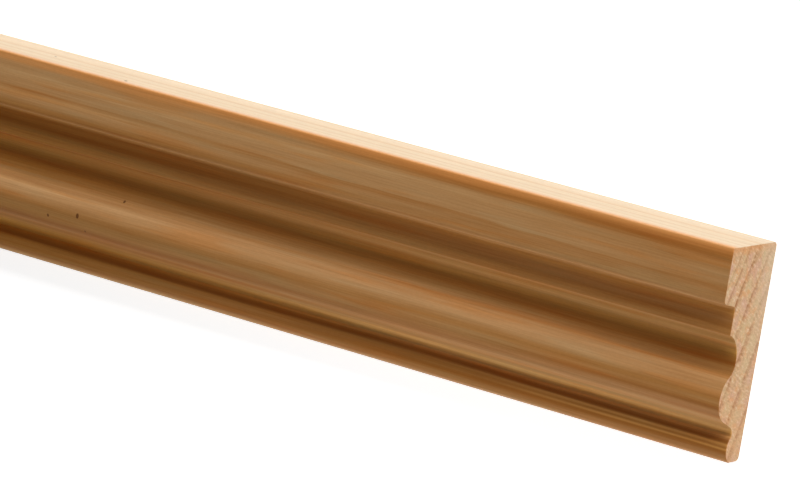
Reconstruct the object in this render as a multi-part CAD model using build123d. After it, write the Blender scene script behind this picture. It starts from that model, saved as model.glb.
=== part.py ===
from build123d import *
import os
from math import atan2, sqrt, tan

# Base moulding: one planed length of softwood with a flat back.
# X runs along the length and the section lies in YZ. The thick edge is at +Y, the back is on Z = 0.
# Sizes are in millimetres. Depths and falls are cutter depths, measured from the step before them.

# The blank
length = 2400.0
width = 45.0
thickness = 18.0

# The square step under the flat band. The band takes the width that the moulded members leave.
step_depth = 4.9
step_lean = 1.0
band_round = 1.1
foot_round = 0.9

# The narrow flat between the step and the cove
fillet_width = 5.75

# The cove, flatter where it leaves the fillet and tighter where it turns up into the bead
cove_run = 5.8
cove_depth = 4.35
cove_radius = 3.5

# The bead
bead_radius = 5.3
bead_rise = 4.0
bead_fall = 2.85

# The quirk, the narrow groove under the bead
quirk_depth = 4.9
quirk_lean = 2.05
quirk_radius = 1.9
quirk_flat = 0.2

# The nose along the thin edge, two shallow curves that meet in a fine arris
nose_rise = 1.1
nose_rise_run = 2.7
nose_rise_bulge = 0.35
nose_fall = 2.0
nose_fall_run = 2.8
nose_fall_bulge = 0.5
nose_ease = 0.6

# The eased arrises along the back and the thick edge
back_ease = 1.0
face_ease = 0.35

# A round never takes more than this share of the thin edge it is cut on
ease_share = 0.45


def ogee_run():
    """Width from the cove's bottom to the bead's crest, where two arcs meet on one tangent."""
    return sqrt(2 * bead_rise * (cove_radius + bead_radius) - bead_rise**2)


def bead_run():
    """Width from the bead's crest to the arris over the quirk."""
    return sqrt(bead_radius**2 - (bead_radius - bead_fall) ** 2)


def quirk_run():
    """Width of the quirk: its leaning wall, the round at the wall's foot and the flat left beside it."""
    round_run = quirk_radius * tan(atan2(quirk_depth, quirk_lean) / 2)
    return quirk_lean + round_run + quirk_flat


def on_arc(centre, radius, towards):
    """The point of a circle that lies towards another point."""
    reach = (towards - centre).normalized()
    return centre + reach * radius


def arc_between(start, centre, end):
    """The short arc about a centre, from one point of its circle to another."""
    middle = on_arc(centre, (start - centre).length, (start + end) / 2)
    return ThreePointArc(start, middle, end)


def bulged(start, end, bulge):
    """A shallow arc that stands out of the wood by its bulge, drawn on from the quirk to the thin edge."""
    return SagittaArc(start, end, -bulge)


def profile():
    """The section, from the band at the thick edge down to the nose at the thin edge."""
    face = thickness
    fillet_top = face - step_depth
    cove_floor = fillet_top - cove_depth
    crest = cove_floor + bead_rise
    quirk_arris = crest - bead_fall
    quirk_floor = quirk_arris - quirk_depth
    nose_top = quirk_floor + nose_rise
    thin_edge = nose_top - nose_fall

    # Y of each line along the face, counted from the thin edge up to the band
    thin_y = -width / 2
    nose_y = thin_y + nose_fall_run
    floor_end_y = nose_y + nose_rise_run
    arris_y = floor_end_y + quirk_run()
    crest_y = arris_y + bead_run()
    cove_y = crest_y + ogee_run()
    shoulder_y = cove_y + cove_run
    step_y = shoulder_y + fillet_width
    band_y = step_y + step_lean
    thick_y = width / 2

    band_end = Vector(band_y, face)
    step_foot = Vector(step_y, fillet_top)
    shoulder = Vector(shoulder_y, fillet_top)
    cove_bottom = Vector(cove_y, cove_floor)
    bead_crest = Vector(crest_y, crest)
    quirk_top = Vector(arris_y, quirk_arris)
    quirk_foot = Vector(arris_y - quirk_lean, quirk_floor)
    floor_end = Vector(floor_end_y, quirk_floor)
    nose_arris = Vector(nose_y, nose_top)
    nose_end = Vector(thin_y, thin_edge)
    thin_back = Vector(thin_y, 0)
    thick_back = Vector(thick_y, 0)
    thick_face = Vector(thick_y, face)

    flat_cove_radius = (cove_run**2 + cove_depth**2) / (2 * cove_depth)
    flat_centre = cove_bottom + Vector(0, flat_cove_radius)
    tight_centre = cove_bottom + Vector(0, cove_radius)
    bead_centre = bead_crest - Vector(0, bead_radius)
    turn = on_arc(tight_centre, cove_radius, bead_centre)

    edges = [
        Line(thick_face, band_end),
        Line(band_end, step_foot),
        Line(step_foot, shoulder),
        arc_between(shoulder, flat_centre, cove_bottom),
        arc_between(cove_bottom, tight_centre, turn),
        arc_between(turn, bead_centre, bead_crest),
        arc_between(bead_crest, bead_centre, quirk_top),
        Line(quirk_top, quirk_foot),
        Line(quirk_foot, floor_end),
        bulged(floor_end, nose_arris, nose_rise_bulge),
        bulged(nose_arris, nose_end, nose_fall_bulge),
        Line(nose_end, thin_back),
        Line(thin_back, thick_back),
        Line(thick_back, thick_face),
    ]
    section = make_face(edges)
    largest_ease = ease_share * thin_edge
    corners = [
        (thick_face, face_ease),
        (band_end, band_round),
        (step_foot, foot_round),
        (quirk_foot, quirk_radius),
        (nose_end, min(nose_ease, largest_ease)),
        (thin_back, min(back_ease, largest_ease)),
        (thick_back, back_ease),
    ]
    for point, radius in corners:
        corner = section.vertices().sort_by_distance(point)[0]
        section = fillet(corner, radius)
    return section


def moulding():
    """The section drawn out along the whole length, with both ends cut square."""
    start = Plane.YZ.offset(-length / 2)
    return extrude(start * profile(), amount=length)


base_moulding = moulding()
base_moulding.label = "base_moulding"
os.makedirs("parts", exist_ok=True)
export_step(base_moulding, "parts/base_moulding.step")

size = base_moulding.bounding_box().size
print("size in mm:", round(size.X, 3), round(size.Y, 3), round(size.Z, 3))
print("volume in cm3:", round(base_moulding.volume / 1000, 2))
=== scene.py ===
# %% [markdown]
# A length of pine base moulding
#
# The real object is one piece of planed softwood, 2.4 m long. Its back is flat, and a moulding machine has
# cut its face: a flat band, a square step down to a fillet, a cove, a bead, a narrow quirk and a rounded
# nose. This lesson dresses the packed part for a studio picture. The packed part is the frame, so it is
# loaded first. It says where everything is, and it stays where it is.

# %% Load the packed part
from math import atan2, cos, degrees, pi, radians, sin, sqrt, tan

import bmesh
import bpy
import numpy as np
from mathutils import Matrix, Vector


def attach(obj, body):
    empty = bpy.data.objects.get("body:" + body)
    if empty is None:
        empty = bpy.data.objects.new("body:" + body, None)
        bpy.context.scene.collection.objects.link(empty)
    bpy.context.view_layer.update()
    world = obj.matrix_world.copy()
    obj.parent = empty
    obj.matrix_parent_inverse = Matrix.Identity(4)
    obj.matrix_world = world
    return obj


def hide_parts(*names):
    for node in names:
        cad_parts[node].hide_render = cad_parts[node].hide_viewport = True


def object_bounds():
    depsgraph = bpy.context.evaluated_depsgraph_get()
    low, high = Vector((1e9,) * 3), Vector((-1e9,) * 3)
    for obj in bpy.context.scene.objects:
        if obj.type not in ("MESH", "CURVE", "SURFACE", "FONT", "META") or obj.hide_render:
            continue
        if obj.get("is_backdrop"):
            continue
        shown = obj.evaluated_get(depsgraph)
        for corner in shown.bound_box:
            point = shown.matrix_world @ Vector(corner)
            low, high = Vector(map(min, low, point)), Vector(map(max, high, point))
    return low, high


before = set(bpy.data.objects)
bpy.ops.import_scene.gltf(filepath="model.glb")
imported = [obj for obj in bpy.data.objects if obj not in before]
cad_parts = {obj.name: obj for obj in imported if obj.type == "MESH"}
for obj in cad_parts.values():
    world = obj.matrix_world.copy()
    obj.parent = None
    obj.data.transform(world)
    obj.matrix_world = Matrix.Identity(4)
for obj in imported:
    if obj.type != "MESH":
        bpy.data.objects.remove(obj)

cad_low, cad_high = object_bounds()
print("The packed part spans", [round(side, 4) for side in cad_high - cad_low], "metres")

# %% [markdown]
# The sizes of the section
#
# A moulding is known by its section, so the sizes here are cutter depths and the widths between members. They
# are real sizes in metres, each measured from the member before it, from the thick edge down to the nose. The
# outside of the blank is read from the frame, so that the dressed piece cannot drift away from the packed
# one.

# %% Name the sizes
MM = 0.001
thin_y, thick_y = cad_low.y, cad_high.y
back_z, band_z = cad_low.z, cad_high.z
far_x, near_x = cad_low.x, cad_high.x
length = near_x - far_x

step_depth = 4.9 * MM
step_lean = 1.0 * MM
band_round = 1.1 * MM
foot_round = 0.9 * MM
fillet_width = 5.75 * MM
cove_run = 5.8 * MM
cove_depth = 4.35 * MM
cove_radius = 3.5 * MM
bead_radius = 5.3 * MM
bead_rise = 4.0 * MM
bead_fall = 2.85 * MM
quirk_depth = 4.9 * MM
quirk_lean = 2.05 * MM
quirk_radius = 1.9 * MM
quirk_flat = 0.2 * MM
nose_rise = 1.1 * MM
nose_rise_run = 2.7 * MM
nose_rise_bulge = 0.35 * MM
nose_fall = 2.0 * MM
nose_fall_run = 2.8 * MM
nose_fall_bulge = 0.5 * MM
nose_ease = 0.6 * MM
back_ease = 1.0 * MM
face_ease = 0.35 * MM
shoulder_ease = 0.16 * MM
print("The blank is", round((thick_y - thin_y) / MM, 2), "by", round((band_z - back_z) / MM, 2), "mm")

# %% [markdown]
# Lines, arcs and rounded corners
#
# A moulding cutter is ground from straight lines and arcs. Blender could draw the section as a curve and
# extrude it, but plain points are easier to steer here, because the same points later carry the colour along
# the arris and the map for baking. Each helper returns points of the section as (y, z). A straight run gets a
# point close to each end, so that its smooth shading stays flat and turns only in the last tenth of a
# millimetre.

# %% Helpers for the section
CURVE_STEP = 0.22 * MM
FEWEST_STEPS = 6
FLAT_STEP = 1.5 * MM
CORNER_STEP = 0.12 * MM
CORNER_SHARE = 0.25
SAME_POINT = CORNER_STEP / 10
TRIAL_RADIUS = 5 * MM


def straight(start, end):
    """Points from start to end, with one more close to each end."""
    span = (end - start).length
    pieces = max(round(span / FLAT_STEP), 1)
    near_corner = min(CORNER_STEP / span, CORNER_SHARE)
    shares = [0, near_corner]
    shares += [i / pieces for i in range(1, pieces)]
    shares += [1 - near_corner, 1]
    return [start.lerp(end, share) for share in shares]


def arc(start, centre, end):
    """Points along the short arc about a centre, from start to end."""
    first = start - centre
    last = end - centre
    turn = atan2(first.x * last.y - first.y * last.x, first.dot(last))
    steps = max(round(abs(turn) * first.length / CURVE_STEP), FEWEST_STEPS)
    return [centre + Matrix.Rotation(turn * i / steps, 2) @ first for i in range(steps + 1)]


def on_arc(centre, radius, towards):
    """The point of a circle that lies towards another point."""
    return centre + (towards - centre).normalized() * radius


def along_circle(point, centre, towards):
    """A place on the tangent at a point of a circle, on the side where another point lies."""
    spoke = point - centre
    tangent = Vector((-spoke.y, spoke.x))
    if tangent.dot(towards - point) < 0:
        tangent.negate()
    return point + tangent


def bulge_centre(start, end, bulge):
    """The centre of a shallow arc that stands out of the wood by its bulge."""
    chord = end - start
    radius = (chord.length_squared / 4 + bulge**2) / (2 * bulge)
    outward = Vector((chord.y, -chord.x)).normalized()
    return (start + end) / 2 - outward * (radius - bulge)


def rounded(before, corner, after, radius):
    """The arc that rounds a corner, between the directions to the points before and after it."""
    back = (before - corner).normalized()
    ahead = (after - corner).normalized()
    half = back.angle(ahead) / 2
    reach = radius / tan(half)
    centre = corner + (back + ahead).normalized() * (radius / sin(half))
    return arc(corner + back * reach, centre, corner + ahead * reach)


quarter = arc(Vector((TRIAL_RADIUS, 0)), Vector((0, 0)), Vector((0, TRIAL_RADIUS)))
print("A quarter round of", round(TRIAL_RADIUS / MM), "mm takes", len(quarter), "points")

# %% [markdown]
# The corners of the section
#
# Seen on the sawn end, the face steps down from the thick edge to the nose, and everything under it is one
# solid board. The corners between the members come first. Each is worked out from the one before it, so that
# when a size changes, everything past it moves along, just as it would if a cutter were moved on its shaft.

# %% Find the corners
def corners():
    """The section's corners by name, as the sizes set them."""
    fillet_z = band_z - step_depth
    cove_z = fillet_z - cove_depth
    crest_z = cove_z + bead_rise
    quirk_top_z = crest_z - bead_fall
    floor_z = quirk_top_z - quirk_depth
    nose_z = floor_z + nose_rise
    bead_run = sqrt(bead_radius**2 - (bead_radius - bead_fall) ** 2)
    ogee_run = sqrt(2 * bead_rise * (cove_radius + bead_radius) - bead_rise**2)
    quirk_run = quirk_lean + quirk_radius * tan(atan2(quirk_depth, quirk_lean) / 2) + quirk_flat
    nose_y = thin_y + nose_fall_run
    floor_y = nose_y + nose_rise_run
    quirk_y = floor_y + quirk_run
    crest_y = quirk_y + bead_run
    cove_y = crest_y + ogee_run
    shoulder_y = cove_y + cove_run
    step_y = shoulder_y + fillet_width
    return {
        "seam": Vector((0, back_z)),
        "thick back": Vector((thick_y, back_z)),
        "thick face": Vector((thick_y, band_z)),
        "band end": Vector((step_y + step_lean, band_z)),
        "step foot": Vector((step_y, fillet_z)),
        "shoulder": Vector((shoulder_y, fillet_z)),
        "cove": Vector((cove_y, cove_z)),
        "crest": Vector((crest_y, crest_z)),
        "quirk top": Vector((quirk_y, quirk_top_z)),
        "quirk foot": Vector((quirk_y - quirk_lean, floor_z)),
        "floor end": Vector((floor_y, floor_z)),
        "nose": Vector((nose_y, nose_z)),
        "nose end": Vector((thin_y, nose_z - nose_fall)),
        "thin back": Vector((thin_y, back_z)),
    }


corner = corners()
nose_height = (corner["nose"].y - back_z) / MM
print("The section has", len(corner), "corners, and the nose stands", round(nose_height, 2), "mm high")

# %% [markdown]
# The outline
#
# Between the corners, the members are lines and arcs that run into one another, and a small arc eases each
# corner that is not a fine arris. The outline could be one long list of such runs, but many of them would be
# plain lines from one arc to the next, so the helper that joins them draws those by itself. The outline
# starts in the middle of the back, goes round by the thick edge and the face, and comes home along the thin
# edge, so the seam of the map ends up where nobody looks.

# %% Draw the outline
def eased_corners(at):
    """The arc that eases each corner, by the corners on its two sides and its radius."""
    sides = {
        "thick back": ("seam", "thick face", back_ease),
        "thick face": ("thick back", "band end", face_ease),
        "band end": ("thick face", "step foot", band_round),
        "step foot": ("band end", "shoulder", foot_round),
        "shoulder": ("step foot", "below shoulder", shoulder_ease),
        "quirk foot": ("quirk top", "floor end", quirk_radius),
        "nose end": ("above nose end", "thin back", nose_ease),
        "thin back": ("nose end", "seam", back_ease),
    }
    arcs = {}
    for name, (before, after, radius) in sides.items():
        arcs[name] = rounded(at[before], at[name], at[after], radius)
    return arcs


def joined(runs):
    """Runs end to end as one list of points, with a straight line where there is a gap between two."""
    points = [runs[0][0]]
    for run in runs:
        if (run[0] - points[-1]).length > CORNER_STEP:
            run = straight(points[-1], run[0]) + run
        for point in run:
            if (point - points[-1]).length > SAME_POINT:
                points.append(point)
    return points


def section(at):
    """The closed outline as (y, z) points, and the number of the first point on the moulded face."""
    flat_radius = (cove_run**2 + cove_depth**2) / (2 * cove_depth)
    flat_centre = at["cove"] + Vector((0, flat_radius))
    tight_centre = at["cove"] + Vector((0, cove_radius))
    bead_centre = at["crest"] - Vector((0, bead_radius))
    turn = on_arc(tight_centre, cove_radius, bead_centre)
    rise_centre = bulge_centre(at["floor end"], at["nose"], nose_rise_bulge)
    fall_centre = bulge_centre(at["nose"], at["nose end"], nose_fall_bulge)
    fall_radius = (at["nose"] - fall_centre).length
    below_shoulder = along_circle(at["shoulder"], flat_centre, at["cove"])
    above_nose_end = along_circle(at["nose end"], fall_centre, at["nose"])
    eased = eased_corners({**at, "below shoulder": below_shoulder, "above nose end": above_nose_end})
    cove_start = on_arc(flat_centre, flat_radius, eased["shoulder"][-1])
    fall_end = on_arc(fall_centre, fall_radius, eased["nose end"][0])

    to_arris = [[at["seam"]], eased["thick back"], eased["thick face"][:1]]
    past_arris = [
        eased["thick face"],
        eased["band end"],
        eased["step foot"],
        eased["shoulder"],
        arc(cove_start, flat_centre, at["cove"]),
        arc(at["cove"], tight_centre, turn),
        arc(turn, bead_centre, at["crest"]),
        arc(at["crest"], bead_centre, at["quirk top"]),
        eased["quirk foot"],
        arc(at["floor end"], rise_centre, at["nose"]),
        arc(at["nose"], fall_centre, fall_end),
        eased["nose end"],
        eased["thin back"],
        [at["seam"]],
    ]
    first = joined(to_arris)
    points = joined(to_arris + past_arris)
    return points[:-1], len(first) - 1


outline, arris_number = section(corner)
print("The section has", len(outline), "points, and the face starts at number", arris_number)

# %% [markdown]
# How far it is round the section
#
# Some things follow the surface rather than straight space: the map for baking, the painted glow of light
# through the arris where the raw edge turns into the face, and the streaks. They need the distance walked
# round the section, so it is added up once.

# %% Walk round the section
def girths(points):
    """The distance walked to each point of a closed outline, and last the whole way round."""
    walked = [0.0]
    for before, after in zip(points, points[1:] + points[:1]):
        walked.append(walked[-1] + (after - before).length)
    return walked


girth = girths(outline)
print("The way round is", round(girth[-1] / MM, 1), "mm")
print("The face starts after", round(girth[arris_number] / MM, 1), "mm of it")

# %% [markdown]
# The stations along the length
#
# The machine pushes the board past its cutters, so every cross section is the same. The mesh copies that: the
# same ring of points repeats at stations along the length. A saw leaves the two ends square, and handling
# takes the sharpness off, so the last ring at each end is drawn in by a tenth of a millimetre.

# %% Set out the stations
STATION_STEP = 25 * MM
END_EASE = 0.1 * MM
SHARPEST_MITRE = 0.5


def directions(points):
    """The directions in which the outline comes to each of its points and goes on from it."""
    found = []
    for i, point in enumerate(points):
        before = (point - points[i - 1]).normalized()
        after = (points[(i + 1) % len(points)] - point).normalized()
        found.append((before, after))
    return found


def drawn_in(points, inset):
    """The outline moved into the wood by an even distance."""
    moved = []
    for point, (before, after) in zip(points, directions(points)):
        along = (before + after).normalized()
        inward = Vector((-along.y, along.x))
        mitre = max(along.dot(after), SHARPEST_MITRE)
        moved.append(point + inward * (inset / mitre))
    return moved


steps = round(length / STATION_STEP)
stations = [near_x - END_EASE - i * (length - 2 * END_EASE) / steps for i in range(steps + 1)]
small_outline = drawn_in(outline, END_EASE)
rings = [(near_x, small_outline)]
rings += [(x, outline) for x in stations]
rings += [(far_x, small_outline)]
print("There are", len(rings), "rings of", len(outline), "points each")

# %% [markdown]
# The mesh
#
# Quads join each ring to the next, and one face closes each end, so the piece is one watertight solid.
# Everything is shaded smooth, since the members are curves. Only real arrises are marked sharp: the rims of
# the two ends, and the lines where the outline turns at once, such as the one over the quirk. A bevel on each
# of those would only add faces too small to see.

# %% Build the mesh
SHARP_TURN = 0.5
SAWN_SLOT = 1
CM3 = 1e-6
NAME = "pine_moulding"


def mark_sharp(made, rows):
    """Marks the rims of the two ends and the sharp lines along the length."""
    count = len(outline)
    for row in (rows[0], rows[1], rows[-2], rows[-1]):
        for i in range(count):
            made.edges.get((row[i], row[(i + 1) % count])).smooth = False
    for i, (before, after) in enumerate(directions(outline)):
        if before.angle(after) > SHARP_TURN:
            for near, far in zip(rows, rows[1:]):
                made.edges.get((near[i], far[i])).smooth = False


def build_mesh():
    """The moulding's mesh: rings joined by quads, with the two ends closed."""
    made = bmesh.new()
    rows = [[made.verts.new((x, *point)) for point in points] for x, points in rings]
    count = len(outline)
    for near, far in zip(rows, rows[1:]):
        for i in range(count):
            j = (i + 1) % count
            made.faces.new((near[i], far[i], far[j], near[j]))
    near_end = made.faces.new(rows[0])
    far_end = made.faces.new(reversed(rows[-1]))
    for face in made.faces:
        face.smooth = True
    mark_sharp(made, rows)
    for end in (near_end, far_end):
        end.material_index = SAWN_SLOT
        end.smooth = False
    made.normal_update()
    bmesh.ops.triangulate(made, faces=[near_end, far_end])
    mesh = bpy.data.meshes.new(NAME)
    made.to_mesh(mesh)
    volume = made.calc_volume()
    open_edges = sum(not edge.is_manifold for edge in made.edges)
    made.free()
    print("The mesh has", len(mesh.polygons), "faces and", open_edges, "open edges")
    print("It holds", round(volume / CM3, 1), "cm3 of wood")
    return mesh


moulding = bpy.data.objects.new(NAME, build_mesh())
bpy.context.scene.collection.objects.link(moulding)

# %% [markdown]
# Does it lie on the packed part?
#
# The dressed piece stands in for the packed one, so the two must agree. Every corner of the packed mesh is
# compared with the nearest edge of the outline. The packed mesh has exact points on its faces, so anything
# over a few hundredths of a millimetre would be a mistake in the runs above.

# %% Compare with the packed part
def gap_to_outline(y, z):
    """The distance from one point of the section to the outline."""
    spot = Vector((y, z))
    gaps = []
    for start, end in zip(outline, outline[1:] + outline[:1]):
        along = end - start
        share = min(max((spot - start).dot(along) / along.length_squared, 0), 1)
        gaps.append((start + along * share - spot).length)
    return min(gaps)


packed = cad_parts["base_moulding"]
spots = {(round(v.co.y, 6), round(v.co.z, 6)) for v in packed.data.vertices}
widest_gap = max(gap_to_outline(*spot) for spot in spots)
print("The packed corners lie within", round(widest_gap / MM, 3), "mm of the outline")

# %% [markdown]
# The map for baking
#
# When the part is exported, its finish is baked into a square picture, and a map says which face goes where
# in it. A 2.4 m length on an even map would leave each end a few pixels wide. So the long faces are unrolled
# like a label, with much of the width kept for the first 300 mm, which the picture shows, and the two ends
# lie above them at a larger scale.

# %% Lay out the map
MAP_PIXELS = 1024
MAP_EDGE = 0.004
SHOWN_LENGTH = 300 * MM
SHOWN_SHARE = 0.42
LABEL_HEIGHT = 0.776
NEAR_END_CORNER = (0.01, 0.795)
NEAR_END_WIDE = 0.49
FAR_END_CORNER = (0.53, 0.795)
FAR_END_WIDE = 0.44


def across_label(x):
    """Where a place along the length falls on the map, from 0 at the near end to 1."""
    from_near = near_x - x
    if from_near < SHOWN_LENGTH:
        share = SHOWN_SHARE * from_near / SHOWN_LENGTH
    else:
        share = SHOWN_SHARE + (1 - SHOWN_SHARE) * (from_near - SHOWN_LENGTH) / (length - SHOWN_LENGTH)
    return MAP_EDGE + share * (1 - 2 * MAP_EDGE)


def on_end(place, corner_of_map, wide):
    """Where a point of an end falls on the map, on which the whole end is so wide."""
    scale = wide / (thick_y - thin_y)
    return (corner_of_map[0] + (thick_y - place.y) * scale, corner_of_map[1] + (place.z - back_z) * scale)


def numbers_round(face):
    """Which point of the outline each corner of a face lies on, counted on past the last where it closes."""
    count = len(outline)
    numbers = [v % count for v in face.vertices]
    over_seam = max(numbers) - min(numbers) > count / 2
    return [count if over_seam and number == 0 else number for number in numbers]


def map_mesh(mesh):
    """Gives every corner of every face its place on the map."""
    layer = mesh.uv_layers.new(name="OFBake")
    for face in mesh.polygons:
        middle = sum((mesh.vertices[v].co.x for v in face.vertices)) / len(face.vertices)
        for loop, vertex, number in zip(face.loop_indices, face.vertices, numbers_round(face)):
            place = mesh.vertices[vertex].co
            if middle > near_x - END_EASE:
                layer.data[loop].uv = on_end(place, NEAR_END_CORNER, NEAR_END_WIDE)
            elif middle < far_x + END_EASE:
                layer.data[loop].uv = on_end(place, FAR_END_CORNER, FAR_END_WIDE)
            else:
                up_label = MAP_EDGE + girth[number] / girth[-1] * LABEL_HEIGHT
                layer.data[loop].uv = (across_label(place.x), up_label)


map_mesh(moulding.data)
pixel = SHOWN_LENGTH / SHOWN_SHARE / MAP_PIXELS
print("One map pixel is", round(pixel / MM, 2), "mm long on the shown stretch")

# %% [markdown]
# Where the raw edge ends
#
# The thick edge and the back are fresh, pale wood. The moulded face is browner, partly as pine goes when
# light has been at it and partly as painted shade, for the real face lay in shade beside the lit edge.
# Between them a painted glow runs along the arris, the orange light that shines through the wood there. A
# number says how far round the section a place lies from that arris: negative on the thick edge, positive on
# the face. The shader reads it to place the glow. It is stored on the corners of the faces and not on the
# vertices, for where the outline closes on the back, one vertex is both the start and the end of the way
# round. A single number there would paint the whole moulded face again as one thin line.

# %% Write the distance from the arris
def write_round_section(mesh, name, values):
    """Stores a number on each corner of each face, from one for each point of the outline and its end."""
    held = mesh.attributes.new(name, "FLOAT", "CORNER")
    for face in mesh.polygons:
        for loop, number in zip(face.loop_indices, numbers_round(face)):
            held.data[loop].value = values[number]


arris_girth = (girth[arris_number] + girth[arris_number + FEWEST_STEPS]) / 2
from_arris_mm = [(walked - arris_girth) / MM for walked in girth]
write_round_section(moulding.data, "from_arris", from_arris_mm)
furthest = [round(end, 1) for end in (from_arris_mm[0], from_arris_mm[-1])]
print("From the arris the outline goes", furthest, "mm round")

# %% [markdown]
# The lamps, seen from the wood
#
# The shade that is painted into the hollows of the wood follows how much light finds its way in, so the lamps
# are named before the wood. Three softboxes light the faces: a long strong key beyond the thick edge, a long
# weak fill
# very low beyond the thin edge, and a short strong fill close beside the near end. The short one shines on
# only part of the length, so it counts here with a share of its brightness. The sky and the floor add a
# little all round.

# %% Name the lamps
SKY_LEVEL = 0.16
FLOOR_LEVEL = 0.5

# For each softbox: its height and its spread as angles in degrees, and how bright its face is
KEY = (28, 30, 3.85)
FILL = (8, 14, 1.3)
NEAR_FILL = (21, 12, 6.6)
NEAR_FILL_SHARE = 0.44


def brightness_towards(angle):
    """How bright the room is towards an angle in degrees, 0 on the thick edge's side and 180 on the other."""
    if angle > 180:
        return FLOOR_LEVEL
    from_thin_side = 180 - angle
    total = SKY_LEVEL
    lamps = ((angle, KEY, 1), (from_thin_side, FILL, 1), (from_thin_side, NEAR_FILL, NEAR_FILL_SHARE))
    for up, (height, spread, level), share in lamps:
        if abs(up - height) < spread / 2:
            total += level * share
    return total


towards_key = brightness_towards(KEY[0])
print("Towards the key the room is", round(towards_key / SKY_LEVEL), "times as bright as the sky")

# %% [markdown]
# How much light each member gets
#
# In the fillet, the cove and the quirk the real wood looks deeper and more orange, and not only darker. That
# is
# painted here as shade: rays from each point of the outline find out how much of the room's light it gets,
# and a second number says how much painted shade, darker and more orange, goes on the colour there.

# %% Measure the light on each member
WOOD_BOUNCE = 0.3
BOUNCES = 3
FAN = 90
LIFT_OFF = 0.02 * MM
SMALLEST_SLANT = 1e-12
FULL_PAINTED_SHADE_LIGHT = 0.35


def first_wood(eyes, starts, spans, towards):
    """The edge of the outline that each eye sees first in a direction, or -1 where it sees out."""
    gaps = starts[None, :, :] - eyes[:, None, :]
    slant = towards[0] * spans[:, 1] - towards[1] * spans[:, 0]
    slant = np.where(abs(slant) < SMALLEST_SLANT, SMALLEST_SLANT, slant)
    distance = (gaps[..., 0] * spans[:, 1] - gaps[..., 1] * spans[:, 0]) / slant
    share = (gaps[..., 0] * towards[1] - gaps[..., 1] * towards[0]) / slant
    hit = (distance > 0) & (share >= 0) & (share <= 1)
    nearest = np.where(hit, distance, np.inf).argmin(axis=1)
    return np.where(hit.any(axis=1), nearest, -1)


def light_reaching(points):
    """The light that falls on each point of the outline, from the room and from the wood that faces it."""
    here = np.array(points)
    spans = np.roll(here, -1, axis=0) - here
    along = spans / np.linalg.norm(spans, axis=1, keepdims=True)
    along = along + np.roll(along, 1, axis=0)
    outward = np.stack((along[:, 1], -along[:, 0]), axis=1)
    outward /= np.linalg.norm(outward, axis=1, keepdims=True)
    eyes = here + outward * LIFT_OFF
    views = []
    for i in range(FAN):
        angle = (i + 0.5) / FAN * 2 * pi
        towards = np.array((cos(angle), sin(angle)))
        weight = np.clip(outward @ towards, 0, None) * pi / FAN
        views.append((weight, brightness_towards(degrees(angle)), first_wood(eyes, here, spans, towards)))
    total = np.zeros(len(here))
    for _ in range(BOUNCES):
        wood = total * WOOD_BOUNCE
        total = sum(weight * np.where(seen < 0, room, wood[seen]) for weight, room, seen in views)
    return total


on_the_band = arris_number + 2 * FEWEST_STEPS
light_share = light_reaching(outline)
light_share = light_share / light_share[on_the_band]
# Painted shade: the less of the band's light a point gets, the darker and more orange its colour is painted
depth = np.clip((1 - light_share) / (1 - FULL_PAINTED_SHADE_LIGHT), 0, 1)
write_round_section(moulding.data, "depth", [*depth.tolist(), float(depth[0])])
print("The dimmest place gets", round(float(light_share.min()), 2), "of the flat band's light")

# %% [markdown]
# Sums in a shader
#
# Blender draws a material as boxes joined by wires. Wood needs dozens of them, and as boxes they are hard to
# read, so one small class wraps an output of a node and lets it take part in ordinary sums. 1 - mask then
# adds the Math node that it stands for. Every other node comes from the method called node: its settings go
# in first, then its inputs.

# %% The class for shader sums
def set_ramp(ramp, stops):
    """Gives a colour ramp its stops, each a position and a colour."""
    while len(ramp.elements) < len(stops):
        ramp.elements.new(1.0)
    for element, (position, colour) in zip(ramp.elements, stops):
        element.position = position
        element.color = colour


class Shade:
    """An output of a shader node that can be used in sums."""

    def __init__(self, socket):
        self.socket = socket

    def node(self, kind, settings=None, inputs=None, output=0):
        """Adds a node beside this one and returns one of its outputs."""
        tree = self.socket.id_data
        made = tree.nodes.new(kind)
        for name, value in (settings or {}).items():
            if name == "stops":
                set_ramp(made.color_ramp, value)
            else:
                setattr(made, name, value)
        for name, value in (inputs or {}).items():
            if isinstance(value, Shade):
                tree.links.new(value.socket, made.inputs[name])
            else:
                made.inputs[name].default_value = value
        return Shade(made.outputs[output]) if made.outputs else None

    def math(self, operation, *others):
        """This value and others through one Math node."""
        values = dict(enumerate((self, *others)))
        return self.node("ShaderNodeMath", {"operation": operation}, values)

    def __add__(self, other):
        return self.math("ADD", other)

    def __mul__(self, other):
        return self.math("MULTIPLY", other)

    __radd__ = __add__
    __rmul__ = __mul__

    def __sub__(self, other):
        return self.math("SUBTRACT", other)

    def __rsub__(self, other):
        return (self * -1) + other

    def __truediv__(self, other):
        return self.math("DIVIDE", other)

    def step(self, low, high):
        """0 up to low, 1 from high on, and a smooth slope between. With low above high it falls instead."""
        ends = {"From Min": low, "From Max": high}
        return self.node("ShaderNodeMapRange", {"interpolation_type": "SMOOTHSTEP"}, {"Value": self, **ends})

    def part(self, number):
        """One number of this vector: 0 for x, 1 for y and 2 for z."""
        return self.node("ShaderNodeSeparateXYZ", {}, {"Vector": self}, number)

    def vector(self, operation, other, output=0):
        """This vector and another through one Vector Math node."""
        return self.node("ShaderNodeVectorMath", {"operation": operation}, {0: self, 1: other}, output)

    def darkened(self, by):
        """This colour made darker where the value is above 0, and lighter where it is below."""
        return self.node("ShaderNodeVectorMath", {"operation": "SCALE"}, {0: self, "Scale": 1 - by})

    def between(self, first, second):
        """The colour between two others, by this value: the first at 0 and the second at 1."""
        return self.node("ShaderNodeMix", {"data_type": "RGBA"}, {0: self, 6: first, 7: second}, 2)

    def blended(self, other, share):
        """This colour with a share of another laid over it."""
        return share.between(self, other)


print("Shade sums ready:", ", ".join(name for name in vars(Shade) if not name.startswith("_")))

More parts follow.
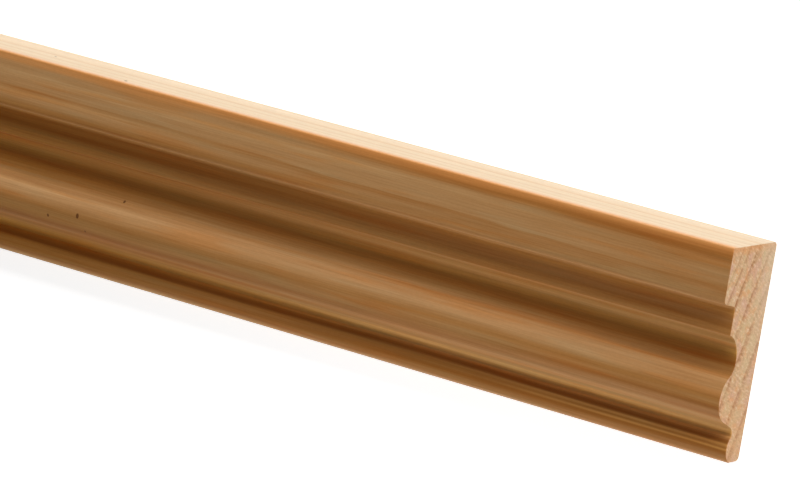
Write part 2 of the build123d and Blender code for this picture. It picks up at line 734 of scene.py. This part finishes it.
# %% [markdown]
# Starting a material
#
# Every finish here begins with where on the object a place is. Object coordinates are used, since the piece
# sits at the origin and they are then real metres, which is what makes a solid wood possible: the rings on
# the sawn end run on into the long faces. Colours are written as a picture shows them, and are turned into a
# shader's linear numbers.

# %% Begin and end a material
WHITE = 255
SRGB_TOE = 10
SRGB_TOE_SLOPE = 12.92
SRGB_OFFSET = 0.055
SRGB_POWER = 2.4
MID_BROWN = (150, 110, 65)
MEAN = 0.5


def new_material(name):
    """An empty material, and the place on the object as the first value."""
    made = bpy.data.materials.new(name)
    made.use_nodes = True
    made.node_tree.nodes.clear()
    source = made.node_tree.nodes.new("ShaderNodeTexCoord")
    return made, Shade(source.outputs["Object"])


def finish_material(surface):
    """Joins a finished surface to the material's output."""
    surface.node("ShaderNodeOutputMaterial", inputs={"Surface": surface})


def linear(channel):
    """One channel of a picture, 0 to 255, as the linear number that a shader needs."""
    if channel <= SRGB_TOE:
        return channel / WHITE / SRGB_TOE_SLOPE
    return ((channel / WHITE + SRGB_OFFSET) / (1 + SRGB_OFFSET)) ** SRGB_POWER


def srgb(red, green, blue):
    """A colour by its channels as a picture shows them."""
    return (linear(red), linear(green), linear(blue), 1.0)


def stored(place, name):
    """A number that was written on the mesh."""
    return place.node("ShaderNodeAttribute", {"attribute_name": name}, {}, 2)


def noise(place, size, detail=2):
    """Soft random values, about MEAN on average, with blobs of a size in metres along x, y and z."""
    scaled = place.vector("MULTIPLY", tuple(1 / side for side in size))
    return scaled.node("ShaderNodeTexNoise", {}, {"Vector": scaled, "Scale": 1.0, "Detail": detail})


print("A mid brown as shader numbers:", [round(c, 3) for c in srgb(*MID_BROWN)])

# %% [markdown]
# How the tree grew
#
# A pine lays down one ring a year: soft pale wood in spring, then a thin dark line of dense wood. The board
# was sawn well away from the heart of the tree, so the rings cross the sawn end as nearly straight slanting
# lines. A picture of rings could be stretched over each face, but the faces would not agree at the arris.
# Here the rings are solid: every place knows its distance from the heart line, which runs behind the back of
# the board. The growth slowed towards the bark, so the rings are listed one by one.

# %% Grow the rings
HEART_Y = -134.5 * MM
HEART_Z = -280.7 * MM
HEART_DRIFT_Y = 0.0035
HEART_DRIFT_Z = 0.0044
RING_RADII = (264, 270, 276, 282, 288, 294.5, 301, 307.2, 313)
RING_RADII += (318.3, 323, 328, 331.2, 333.5, 337, 340.5, 345, 350)
RING_LEAD = -0.05
WAVER_SIZE = (0.4, 0.02, 0.02)
WAVER = 3.0 * MM
RIPPLE_SIZE = (0.03, 0.004, 0.004)
RIPPLE = 1.0 * MM
CALM_LENGTH = 500 * MM
LATE_RISE = (0.55, 0.92)
LATE_FALL = (1.0, 0.94)
FAINTEST_RING = 0.55


def tree_place(place):
    """A place as the tree knows it: its distance from the heart line, and its distance round it."""
    x, y, z = (place.part(i) for i in range(3))
    from_near = near_x - x
    aside = y - HEART_Y - from_near * HEART_DRIFT_Y
    above = z - HEART_Z - from_near * HEART_DRIFT_Z
    radius = (aside * aside + above * above).math("SQRT")
    waver = (noise(place, WAVER_SIZE) - MEAN) * WAVER * from_near.step(0, CALM_LENGTH)
    ripple = (noise(place, RIPPLE_SIZE, detail=3) - MEAN) * RIPPLE
    around = aside.math("ARCTAN2", above) * (RING_RADII[0] * MM)
    return radius + waver + ripple, around


def ring_number(radius):
    """The number of rings passed on the way out from the heart. A whole number is a dark line."""
    first, last = RING_RADII[0], RING_RADII[-1]
    count = len(RING_RADII) - 1
    stops = [((r - first) / (last - first), (*[i / count] * 3, 1)) for i, r in enumerate(RING_RADII)]
    share = (radius / MM - first) / (last - first)
    return share.node("ShaderNodeValToRGB", {"stops": stops}, {"Fac": share}) * count + RING_LEAD


def late_wood(radius):
    """1 in the dense dark line that ends each ring, 0 in the soft pale wood."""
    number = ring_number(radius)
    passed = number.math("FRACT")
    strength = number.math("FLOOR")
    strength = strength.node("ShaderNodeTexWhiteNoise", {"noise_dimensions": "1D"}, {"W": strength})
    line = passed.step(*LATE_RISE) * passed.step(*LATE_FALL)
    return line * (FAINTEST_RING + strength * (1 - FAINTEST_RING))


print("The rings run from", RING_RADII[0], "to", RING_RADII[-1], "mm from the heart")

# %% [markdown]
# Streaks that have a name
#
# Noise alone never puts a streak where the real board has one. So the streaks that catch the eye are listed
# by name, each with its place on the moulding. There are deep orange-brown ones, pale ones, cool ones that
# lean to green, and plum ones down in the hollows. Some of the deep ones are painted shade and some of the
# pale ones painted light, where the real light fell differently on a member. Most of them are stronger either
# at the near end or further on.

# %% Place the streaks
# For each streak, in mm but for the strengths: how far round it lies from the arris, half its width, its
# strength at the near end, its strength further on, and how far from the near end the one turns into the
# other
DEEP_STREAKS_AND_SHADE = {
    "under the arris": (1.6, 2.0, 1.0, 0.0, 95),
    "orange patch on the band": (4.2, 2.6, 0.45, 0.0, 45),
    "down the band": (6.2, 0.8, 0.1, 0.1, 100),
    "low on the band, by the end": (7.8, 1.2, 0.8, 0.0, 10),
    # Painted shade where the band rounds down to the step
    "over the step": (10.1, 1.7, 0.4, 0.8, 100),
    "at the step's foot": (18.2, 1.2, 0.0, 0.8, 110),
    "under the step": (19.5, 1.1, 0.45, 0.0, 40),
    # Painted shade on the shoulder
    "on the shoulder": (22.2, 1.5, 0.25, 0.9, 90),
    "in the cove": (29.6, 1.3, 0.75, 0.05, 50),
    "on the rise of the bead": (31.8, 2.0, 1.0, 0.0, 15),
    "on the bead, by the end": (35.0, 1.8, 0.7, 0.0, 10),
    "past the bead's crest": (37.8, 1.9, 0.8, 0.6, 60),
    "under the crest": (39.6, 1.3, 0.8, 0.0, 50),
    "under the bead": (41.6, 1.6, 0.5, 0.95, 95),
    "on the quirk's wall": (44.4, 3.1, 0.25, 1.0, 90),
    "at the nose's foot": (51.5, 0.8, 0.7, 0.6, 60),
    "on the nose": (53.8, 1.8, 1.0, 0.6, 95),
    "past the nose": (55.4, 1.0, 0.8, 0.0, 95),
}
PALE_STREAKS_AND_LIGHT = {
    "along the band": (3.6, 1.5, 0.0, 0.2, 50),
    "low on the band": (7.4, 0.9, 0.0, 0.3, 130),
    "on the step": (13.5, 3.5, 0.0, 0.12, 40),
    # Painted light, bounced off the step into its foot
    "in the foot of the step": (16.9, 1.3, 0.5, 0.0, 95),
    "down the cove": (25.6, 1.9, 0.4, 0.25, 80),
    "low in the cove": (27.3, 1.3, 0.85, 0.1, 110),
    "on the bead": (32.2, 1.5, 0.0, 0.15, 40),
    "on the bead's crest": (34.3, 1.0, 0.0, 0.3, 140),
    # Painted light on the foot of the quirk's wall
    "in the foot of the quirk's wall": (49.3, 1.6, 0.75, 1.0, 40),
    "on the quirk's floor": (50.2, 1.1, 1.0, 0.1, 130),
    "fine line on the nose": (52.2, 0.5, 0.8, 0.1, 60),
    "second line on the nose": (53.2, 0.4, 0.9, 0.0, 45),
    "outside the nose": (55.9, 1.5, 0.2, 0.45, 100),
}
COOL_STREAKS = {
    "on the shoulder": (23.8, 2.2, 0.6, 0.0, 80),
    "on the rise of the bead": (31.0, 1.6, 0.5, 0.4, 100),
    "past the crest": (39.0, 2.0, 0.0, 0.4, 100),
    "on the quirk's wall": (46.5, 2.0, 0.7, 0.0, 90),
}
PLUM_STREAKS = {
    "in the foot of the step": (18.3, 2.0, 0.45, 0.0, 80),
    "in the quirk": (50.8, 2.0, 0.9, 0.15, 85),
}
STREAK_WANDER_SIZE = (0.1, 1.0, 1.0)
STREAK_WANDER = 1.6
HALF_CHANGE = 40


def streaks(along_mm, walked, named):
    """How strongly a place lies in the named streaks, 0 outside them all."""
    total = 0
    for middle, half_width, near, further, change in named.values():
        inside = (walked - middle).math("ABSOLUTE").step(half_width, 0)
        nearness = along_mm.step(change + HALF_CHANGE, change - HALF_CHANGE)
        total = inside * (nearness * (near - further) + further) + total
    return total


streak_groups = (DEEP_STREAKS_AND_SHADE, PALE_STREAKS_AND_LIGHT, COOL_STREAKS, PLUM_STREAKS)
print("There are", sum(len(group) for group in streak_groups), "streaks")

# %% [markdown]
# A few flecks
#
# The real board has a few small dark flecks, most of them on the bead. They could be painted on a picture,
# but as numbers they keep their real size however near they are seen. Each is a small oval.

# %% Place the flecks
# For each fleck, in mm: how far it is from the near end and from the arris, and half its length and width
FLECKS = (
    (148.2, 31.9, 0.33, 0.47),
    (157.5, 38.1, 0.45, 0.70),
    (165.2, 39.8, 0.32, 0.45),
    (155.6, 41.3, 0.23, 0.32),
    (148.8, -2.65, 0.40, 0.50),
    (171.2, -8.1, 0.30, 0.35),
)
FLECK_EDGE = (1.0, 0.3)
FLECK_SHARE = 0.8


def flecks(along_mm, walked):
    """1 inside the few small dark flecks."""
    total = 0
    for along, round_it, half_length, half_width in FLECKS:
        off_along = (along_mm - along) / half_length
        off_round = (walked - round_it) / half_width
        total = (off_along * off_along + off_round * off_round).step(*FLECK_EDGE) + total
    return total


longest = max(2 * half_length for _, _, half_length, _ in FLECKS)
print("There are", len(FLECKS), "flecks, the longest", longest, "mm long")

# %% [markdown]
# The colours of the faces
#
# The colour goes from raw to toned wood across the arris, with a painted glow of light through the arris
# between them. The face is one pair of colours, soft and dense, partly toned wood and partly painted shade.
# Everything else is laid over it as a tint, which multiplies the colour and so keeps the grain under it; some
# tints are painted shade in the hollows, and some streaks are painted light and shade. The streaks wander a
# little, for no fibre runs quite straight.

# %% Mix the colours of the faces
RAW_SOFT = srgb(232, 209, 178)
RAW_DENSE = srgb(224, 192, 153)
RAW_PALE = srgb(233, 217, 196)
# The face's colours: toned wood, and partly painted shade, as the real face lay in shade beside the lit edge
TONED_SHADED_SOFT = srgb(187, 141, 91)
TONED_SHADED_DENSE = srgb(166, 110, 54)
# A painted glow: the orange light that shines through the wood at the lit arris
ARRIS_GLOW = srgb(230, 153, 82)
FLECK = srgb(76, 34, 8)
# The tint of the painted shade in the hollows
PAINTED_SHADE_TINT = (0.95, 0.72, 0.36)
DEEP_TINT = (0.72, 0.56, 0.30)
PALE_TINT = (1.58, 1.92, 2.30)
COOL_TINT = (0.82, 0.98, 1.05)
PLUM_TINT = (0.97, 1.06, 1.70)
# The tint of more painted shade in the hollows further from the near end, where the short fill's light does
# not reach
SHADE_FURTHER_ON = (1.00, 0.95, 0.72)
ORANGE_TINT = (1.03, 0.90, 0.74)
OLIVE_TINT = (0.97, 1.05, 1.14)
BLOTCH_SIZE = (0.03, 2.2 * MM, 2.2 * MM)

# Places round the section, in mm from the arris, where one thing turns into the next
BACK_MM = (girth[-1] - girth[arris_number]) / MM
RAW_TO_SHADED_FACE = (-0.4, 0.3)
SHADED_FACE_TO_BACK = (BACK_MM - 22, BACK_MM - 24)
BAND_TO_STEP = (11.0, 10.0)
PALE_FROM_TO = (-11.0, -17.0)
PALE_SHARE = 0.35
GLOW_RISE = (-4.2, 0.2)
GLOW_FALL = (2.4, 0.3)
GLOW_RAGGED = 2.4
GLOW_SHARE = 0.68
SHADE_FURTHER_FROM_TO = (110, 190)
IN_PAINTED_SHADE = (0.0, 0.6)
ORANGE_BLOTCH = (0.52, 0.70)
OLIVE_BLOTCH = (0.48, 0.30)


def raw_colour(dense, from_arris):
    """Fresh wood, a little paler towards the back."""
    raw = dense.between(RAW_SOFT, RAW_DENSE)
    return raw.blended(RAW_PALE, from_arris.step(*PALE_FROM_TO) * PALE_SHARE)


def face_colour(place, dense, from_arris, along_mm):
    """Toned and partly shaded wood, with painted shade in the hollows that grows further on, and streaks."""
    face = dense.between(TONED_SHADED_SOFT, TONED_SHADED_DENSE)
    walked = from_arris + (noise(place, STREAK_WANDER_SIZE, detail=1) - MEAN) * STREAK_WANDER
    painted_shade_share = stored(place, "depth")
    blotch = noise(place, BLOTCH_SIZE)
    tints = [
        # More painted shade in the hollows further from the near end
        (SHADE_FURTHER_ON, along_mm.step(*SHADE_FURTHER_FROM_TO) * painted_shade_share.step(*IN_PAINTED_SHADE)),
        (ORANGE_TINT, blotch.step(*ORANGE_BLOTCH)),
        (OLIVE_TINT, blotch.step(*OLIVE_BLOTCH)),
        # Painted shade in the hollows, by how little light reaches them
        (PAINTED_SHADE_TINT, painted_shade_share),
        (DEEP_TINT, streaks(along_mm, walked, DEEP_STREAKS_AND_SHADE)),
        (PALE_TINT, streaks(along_mm, walked, PALE_STREAKS_AND_LIGHT)),
        (COOL_TINT, streaks(along_mm, walked, COOL_STREAKS)),
        (PLUM_TINT, streaks(along_mm, walked, PLUM_STREAKS)),
    ]
    for tint, share in tints:
        face = face.blended(face.vector("MULTIPLY", tint), share)
    return face


def arris_glow_share(from_arris, streak):
    """How strong the painted glow along the arris is: it rises slowly on the thick edge and ends ragged on
    the face.
    """
    rise = from_arris.step(*GLOW_RISE)
    fall = (from_arris + (streak - MEAN) * GLOW_RAGGED).step(*GLOW_FALL)
    return rise * rise * fall * GLOW_SHARE


print("The toned face is", [round(c, 3) for c in TONED_SHADED_SOFT[:3]], "where it is soft")

# %% [markdown]
# Resin canals and bare wood
#
# Pine has fine resin canals, which show along the grain as short dark dashes. A Voronoi pattern has one point
# in each of its cells, so with long narrow cells it gives one dash to each. Both finishes end in the same
# shader: wood with no oil or varnish on it has hardly any gloss, and its relief is too fine for real
# geometry, so it only tilts the light.

# %% Make the canals and the bare surface
DRY_GLOSS = 0.12
CANAL_SPACING = (0.05, 1.1 * MM, 1.1 * MM)
CANAL_EDGE = (0.09, 0.045)


def canals(place):
    """1 inside the fine resin canals that run with the grain."""
    scaled = place.vector("MULTIPLY", tuple(1 / side for side in CANAL_SPACING))
    distance = scaled.node("ShaderNodeTexVoronoi", {}, {"Vector": scaled, "Scale": 1.0})
    return distance.step(*CANAL_EDGE)


def bare_wood(colour, rough, relief, bump):
    """Unfinished wood with hardly any gloss. Its relief only tilts the light."""
    strength, height = bump
    tilted = relief.node("ShaderNodeBump", {}, {"Strength": strength, "Distance": height, "Height": relief})
    inputs = {"Base Color": colour, "Roughness": rough, "Specular IOR Level": DRY_GLOSS, "Normal": tilted}
    return colour.node("ShaderNodeBsdfPrincipled", {}, inputs)


print("There is a resin canal about every", round(CANAL_SPACING[1] / MM, 1), "mm across the grain")

# %% [markdown]
# Planed pine along the grain
#
# Under the rings, the wood is a bundle of fibres that run the length of the board. They show as fine streaks,
# long and narrow, with a few resin canals as short darker dashes. One noise stretched along X would look like
# brushed metal, so several sizes are laid over each other: single fibres, streaks a millimetre or two wide,
# slow changes of tone, and a fine speckle.

# %% Make the planed finish
FIBRE_SIZE = (0.014, 0.3 * MM, 0.3 * MM)
STREAK_SIZE = (0.09, 1.5 * MM, 1.5 * MM)
TONE_SIZE = (0.3, 12 * MM, 12 * MM)
SPECKLE_SIZE = (0.8 * MM, 0.4 * MM, 0.4 * MM)

# How much the streaks and the fibres count in the grain, and how much late wood the moulded members show
GRAIN = 0.1
STREAK_GRAIN = 0.5
FIBRE_GRAIN = 0.7
LATE_ON_MEMBERS = 0.35

# How much each noise darkens the colour, lifts the surface and changes the roughness. A bump is a strength
# and a height.
FIBRE_TONE = 0.24
SLOW_TONE = 0.14
SPECKLE_TONE = 0.16
CANAL_TONE = 0.12
FIBRE_RELIEF = 0.5
LATE_RELIEF = 0.4
CANAL_RELIEF = 0.4
PLANED_ROUGH = 0.56
FIBRE_ROUGH = 0.12
LATE_ROUGH = 0.05
PLANED_BUMP = (0.25, 0.06 * MM)


def planed_pine():
    """The finish of the long faces."""
    made, place = new_material("planed_pine")
    late = late_wood(tree_place(place)[0])
    fibre = noise(place, FIBRE_SIZE, detail=3)
    streak = noise(place, STREAK_SIZE)
    tone = noise(place, TONE_SIZE, detail=1)
    speckle = noise(place, SPECKLE_SIZE)
    canal = canals(place)
    from_arris = stored(place, "from_arris")
    along_mm = (near_x - place.part(0)) / MM

    grain = (streak - MEAN) * STREAK_GRAIN + (fibre - MEAN) * FIBRE_GRAIN + GRAIN
    late_on_face = late * (LATE_ON_MEMBERS + from_arris.step(*BAND_TO_STEP) * (1 - LATE_ON_MEMBERS))
    face = face_colour(place, late_on_face + grain, from_arris, along_mm)
    # Where the face's toned and partly shaded colour takes over from the raw wood
    toned_and_shaded = from_arris.step(*RAW_TO_SHADED_FACE) * from_arris.step(*SHADED_FACE_TO_BACK)
    colour = raw_colour(late + grain, from_arris).blended(face, toned_and_shaded)
    # Paint the glow of light through the arris
    colour = colour.blended(ARRIS_GLOW, arris_glow_share(from_arris, streak))
    darker = (fibre - MEAN) * FIBRE_TONE + (tone - MEAN) * SLOW_TONE
    darker = darker + (speckle - MEAN) * SPECKLE_TONE + canal * CANAL_TONE
    colour = colour.darkened(darker)
    colour = colour.blended(FLECK, flecks(along_mm, from_arris) * FLECK_SHARE)

    relief = fibre * FIBRE_RELIEF + late * LATE_RELIEF - canal * CANAL_RELIEF
    rough = PLANED_ROUGH + (fibre - MEAN) * FIBRE_ROUGH - late * LATE_ROUGH
    finish_material(bare_wood(colour, rough, relief, PLANED_BUMP))
    return made


moulding.data.materials.append(planed_pine())
print("The planed finish uses", len(moulding.data.materials[0].node_tree.nodes), "nodes")

# %% [markdown]
# The colours of the sawn end
#
# Fresh end grain is not one colour. It has faint rosy, olive and orange patches and a warm margin where the
# thick edge has taken on colour. Towards the back it is painted paler, as painted light from the white floor,
# more so on the thick side. Each patch is laid over the wood by its own share. The dark rings are dense and
# take on less of the patches than the soft wood between them.

# %% Place the patches of the sawn end
END_SOFT = srgb(221, 182, 141)
END_DENSE = srgb(180, 124, 80)
END_WARM = srgb(226, 162, 108)
END_ROSE = srgb(218, 172, 146)
END_OLIVE = srgb(216, 186, 142)
END_PALE = srgb(226, 204, 172)
PATCH_SIZE = (1.0, 2.0 * MM, 2.0 * MM)
KEPT_OFF_RINGS = 0.8

# For each patch of colour: where it begins, where it is full, and how much of it shows there
ROSE_PATCH = (0.50, 0.65, 0.70)
OLIVE_PATCH = (0.48, 0.36, 0.75)
WARM_PATCH = (0.50, 0.72, 0.60)
PALE_RAYS = (0.45, 0.30, 0.60)
PALE_PORES = (0.40, 0.25, 0.40)
WARM_MARGIN = (thick_y - 2.2 * MM, thick_y - 0.4 * MM, 0.70)
WARM_THIN_SIDE = (thick_y - 26 * MM, thick_y - 40 * MM, 0.30)

# Painted light from the white floor: paler towards the back, and more so on the thick side
FLOOR_GLOW_MARGIN = (back_z + 8 * MM, back_z + 0.5 * MM)
THICK_SIDE = (thick_y - 24 * MM, thick_y - 8 * MM)
FLOOR_GLOW_SHARE = 0.2
MORE_FLOOR_GLOW = 0.35


def patch_share(value, begins, full, share):
    """How much of a patch shows, by a value that grows or falls into it."""
    return value.step(begins, full) * share


def end_patches(place, late, rose, ray, pore):
    """Each patch of colour on the sawn end, with the painted floor light near the back, and how much shows.
    """
    patch = noise(place, PATCH_SIZE)
    across = place.part(1)
    height = place.part(2)
    off_rings = 1 - late * KEPT_OFF_RINGS
    floor_glow = height.step(*FLOOR_GLOW_MARGIN) * (FLOOR_GLOW_SHARE + across.step(*THICK_SIDE) * MORE_FLOOR_GLOW)
    return [
        (END_ROSE, patch_share(rose, *ROSE_PATCH) * off_rings),
        (END_OLIVE, patch_share(rose, *OLIVE_PATCH) * off_rings),
        (END_WARM, patch_share(patch, *WARM_PATCH)),
        (END_WARM, patch_share(across, *WARM_MARGIN)),
        (END_WARM, patch_share(across, *WARM_THIN_SIDE)),
        # Painted light from the white floor, near the back
        (END_PALE, floor_glow),
        (END_PALE, patch_share(ray, *PALE_RAYS) * off_rings),
        (END_PALE, patch_share(pore, *PALE_PORES) * off_rings),
    ]


print("The sawn end is", [round(c, 3) for c in END_SOFT[:3]], "between its rings")

# %% [markdown]
# The sawn end
#
# A saw cuts the fibres across, so the end shows their open mouths, and the saw leaves it slightly rough. The
# same rings are used as on the faces, so they meet at the edges. Fine rays cross the rings towards the heart.
# They are a noise laid along the rays, which needs the distance round the heart.

# %% Make the sawn finish
RAY_SIZE = (1.0, 0.45 * MM, 1.5 * MM)
PORE_SIZE = (1.0, 0.35 * MM, 0.35 * MM)
ROSE_SIZE = (1.0, 4.0 * MM, 3.0 * MM)

# How much the rosy patches and the rays count in the rings, and the rays alone between them
RING_STRENGTH = 0.2
RING_IN_PATCHES = (0.35, 0.60)
RING_BY_PATCH = 0.45
RING_BY_RAY = 0.5
RAY_GRAIN = 1.3
END_GRAIN = 0.1

# How much the pores and the rays darken the colour, and what lifts the surface
PORE_TONE = 0.45
RAY_TONE = 0.25
PORE_RELIEF = 0.5
RAY_RELIEF = 0.5
RING_RELIEF = 0.3
SAWN_ROUGH = 0.85
SAWN_BUMP = (0.4, 0.1 * MM)


def sawn_pine():
    """The finish of the two ends."""
    made, place = new_material("sawn_pine")
    radius, around = tree_place(place)
    late = late_wood(radius)
    ray_place = place.node("ShaderNodeCombineXYZ", {}, {"Y": around, "Z": radius})
    ray = noise(ray_place, RAY_SIZE, detail=3)
    pore = noise(place, PORE_SIZE, detail=3)
    rose = noise(place, ROSE_SIZE)

    ring_strength = rose.step(*RING_IN_PATCHES) * RING_BY_PATCH + ray * RING_BY_RAY + RING_STRENGTH
    dense = late * ring_strength + (ray - MEAN) * RAY_GRAIN + END_GRAIN
    colour = dense.between(END_SOFT, END_DENSE)
    for patch_colour, share in end_patches(place, late, rose, ray, pore):
        colour = colour.blended(patch_colour, share)
    colour = colour.darkened((pore - MEAN) * PORE_TONE + (ray - MEAN) * RAY_TONE)
    relief = pore * PORE_RELIEF + ray * RAY_RELIEF + late * RING_RELIEF
    finish_material(bare_wood(colour, SAWN_ROUGH, relief, SAWN_BUMP))
    return made


moulding.data.materials.append(sawn_pine())
print("The sawn finish uses", len(moulding.data.materials[1].node_tree.nodes), "nodes")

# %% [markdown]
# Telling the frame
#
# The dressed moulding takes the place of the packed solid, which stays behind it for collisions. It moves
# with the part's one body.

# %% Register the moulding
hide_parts("base_moulding")
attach(moulding, "root")
print("Registered", moulding.name)

# %% [markdown]
# The floor
#
# The moulding lies on a white sweep. A plain white floor would come out grey where less light falls on it,
# and raising the lamps would burn out the pale wood. So the floor gives off a little light of its own, but
# only to the camera and to reflections. Where the moulding keeps light off it, it still falls below white as
# a soft shadow.

# %% Lay the floor
FLOOR_SIZE = 14.0
FLOOR_DROP = 0.05 * MM
FLOOR_COLOUR = (0.82, 0.82, 0.82, 1.0)
FLOOR_LIFT = 0.70


def seen_or_mirrored(value):
    """1 for light that goes to the camera or to a reflection, 0 for light that falls on other things."""
    path = value.node("ShaderNodeLightPath")
    glossy = Shade(path.socket.node.outputs["Is Glossy Ray"])
    through = Shade(path.socket.node.outputs["Is Transmission Ray"])
    return path.math("MAXIMUM", glossy).math("MAXIMUM", through)


def floor_material():
    """A white floor that lifts itself to white for the camera."""
    made, place = new_material("white_floor")
    paint = place.node("ShaderNodeBsdfDiffuse", {}, {"Color": FLOOR_COLOUR})
    glow = place.node("ShaderNodeEmission", {}, {"Strength": FLOOR_LIFT})
    none = place.node("ShaderNodeEmission", {}, {"Strength": 0.0})
    shown = place.node("ShaderNodeMixShader", {}, {0: seen_or_mirrored(place), 1: none, 2: glow})
    finish_material(place.node("ShaderNodeAddShader", {}, {0: paint, 1: shown}))
    return made


def lay_floor():
    """A flat square under the moulding, so close that no gap shows."""
    half = FLOOR_SIZE / 2
    mesh = bpy.data.meshes.new("floor")
    level = back_z - FLOOR_DROP
    ways_out = ((-half, -half), (half, -half), (half, half), (-half, half))
    mesh.from_pydata([(x, y, level) for x, y in ways_out], [], [(0, 1, 2, 3)])
    mesh.materials.append(floor_material())
    floor = bpy.data.objects.new("floor", mesh)
    bpy.context.scene.collection.objects.link(floor)
    return floor


lay_floor()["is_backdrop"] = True
print("The floor is", FLOOR_SIZE, "m square")

# %% [markdown]
# The light
#
# On the real moulding the slopes that look sideways are bright, and the flats and grooves are darker, most of
# all under the step. Long softboxes low on both sides do that, and bare lamps would give hard streaks
# instead. The slopes that look towards the thin side grow brighter near the sawn end, which a short box close
# beside that end explains. One more box stands low beyond the end, since the sawn face is nearly as bright as
# the thick edge. The sky between them is dim on the wood, and plain white to the camera and to reflections.

# %% Set the light
BOX_REACH = 3.0
SIDE_LENGTH = 7.0
SIDE_MIDDLE = 1.0
NEAR_REACH = 0.2
NEAR_LENGTH = 0.2
NEAR_MIDDLE = 0.0
END_LENGTH = 3.0
END_LIGHT = (14, 20, 2.2)


def build_sky():
    """A dim sky for the wood, and a white one for the camera."""
    world = bpy.data.worlds.new("studio")
    world.use_nodes = True
    world.node_tree.nodes.clear()
    sky = Shade(world.node_tree.nodes.new("ShaderNodeTexCoord").outputs["Generated"])
    strength = seen_or_mirrored(sky) * (1 - SKY_LEVEL) + SKY_LEVEL
    light = sky.node("ShaderNodeBackground", {}, {"Strength": strength})
    sky.node("ShaderNodeOutputWorld", {}, {"Surface": light})
    bpy.context.scene.world = world


def add_softbox(name, spot, side, reach, long, height, spread, level):
    """A long lamp on one side of a spot: its height and its spread as angles, and how bright its face is."""
    up = radians(height)
    away = side * cos(up) + Vector((0, 0, sin(up)))
    along = Vector((0, 0, 1)).cross(side)
    wide = 2 * reach * tan(radians(spread / 2))
    lamp = bpy.data.lights.new(name, "AREA")
    lamp.shape = "RECTANGLE"
    lamp.size = long
    lamp.size_y = wide
    lamp.energy = level * pi * long * wide
    box = bpy.data.objects.new(name, lamp)
    turned = Matrix((along, away.cross(along), away)).transposed().to_4x4()
    box.matrix_world = Matrix.Translation(spot + away * reach) @ turned
    box.visible_camera = False
    bpy.context.scene.collection.objects.link(box)
    return round(wide, 2)


build_sky()
near_end = Vector((near_x, 0, 0))
past_end = Vector((1, 0, 0))
thick_side = Vector((0, 1, 0))
thin_side = -thick_side
beside = near_end + past_end * SIDE_MIDDLE
by_end = near_end + past_end * NEAR_MIDDLE
wide = [
    add_softbox("key", beside, thick_side, BOX_REACH, SIDE_LENGTH, *KEY),
    add_softbox("fill", beside, thin_side, BOX_REACH, SIDE_LENGTH, *FILL),
    add_softbox("near_fill", by_end, thin_side, NEAR_REACH, NEAR_LENGTH, *NEAR_FILL),
    add_softbox("end_light", near_end, past_end, BOX_REACH, END_LENGTH, *END_LIGHT),
]
bpy.context.scene.view_settings.view_transform = "Standard"
print("The softboxes are", wide, "m wide")

# %% [markdown]
# The camera
#
# The photographer stood off the near end with a long lens and looked down the length, so the moulding runs
# out of the picture on the left. The lens and the way the camera is held were worked out from the edges in
# the picture.

# %% Place the camera
CAMERA_PLACE = Vector((1.64744, 0.19619, 0.89304))
TO_THE_RIGHT = Vector((0.83171836, 0.16080597, -0.53140005))
DOWNWARDS = Vector((0.23346514, -0.96969819, 0.07196835))
FORWARDS = Vector((-0.50372472, -0.18392079, -0.84405838))
LENS = 230.7
SENSOR = 36.0
NEAREST_SEEN = 0.01
FURTHEST_SEEN = 50.0

lens = bpy.data.cameras.new("camera")
lens.lens = LENS
lens.sensor_width = SENSOR
lens.clip_start = NEAREST_SEEN
lens.clip_end = FURTHEST_SEEN
camera = bpy.data.objects.new("camera", lens)
bpy.context.scene.collection.objects.link(camera)
turned = Matrix((TO_THE_RIGHT, -DOWNWARDS, -FORWARDS)).transposed().to_4x4()
camera.matrix_world = Matrix.Translation(CAMERA_PLACE) @ turned
bpy.context.scene.camera = camera
print("The camera stands", round((CAMERA_PLACE - near_end).length, 3), "m from the near end")

# %% [markdown]
# The last measure
#
# The dressed part must fill the same box as the packed one, so the two boxes are compared and their largest
# difference is printed.

# %% Compare the two boxes
seen_low, seen_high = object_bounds()
differences = [abs(a - b) for a, b in zip((*cad_low, *cad_high), (*seen_low, *seen_high))]
print("The two boxes differ by", max(differences))
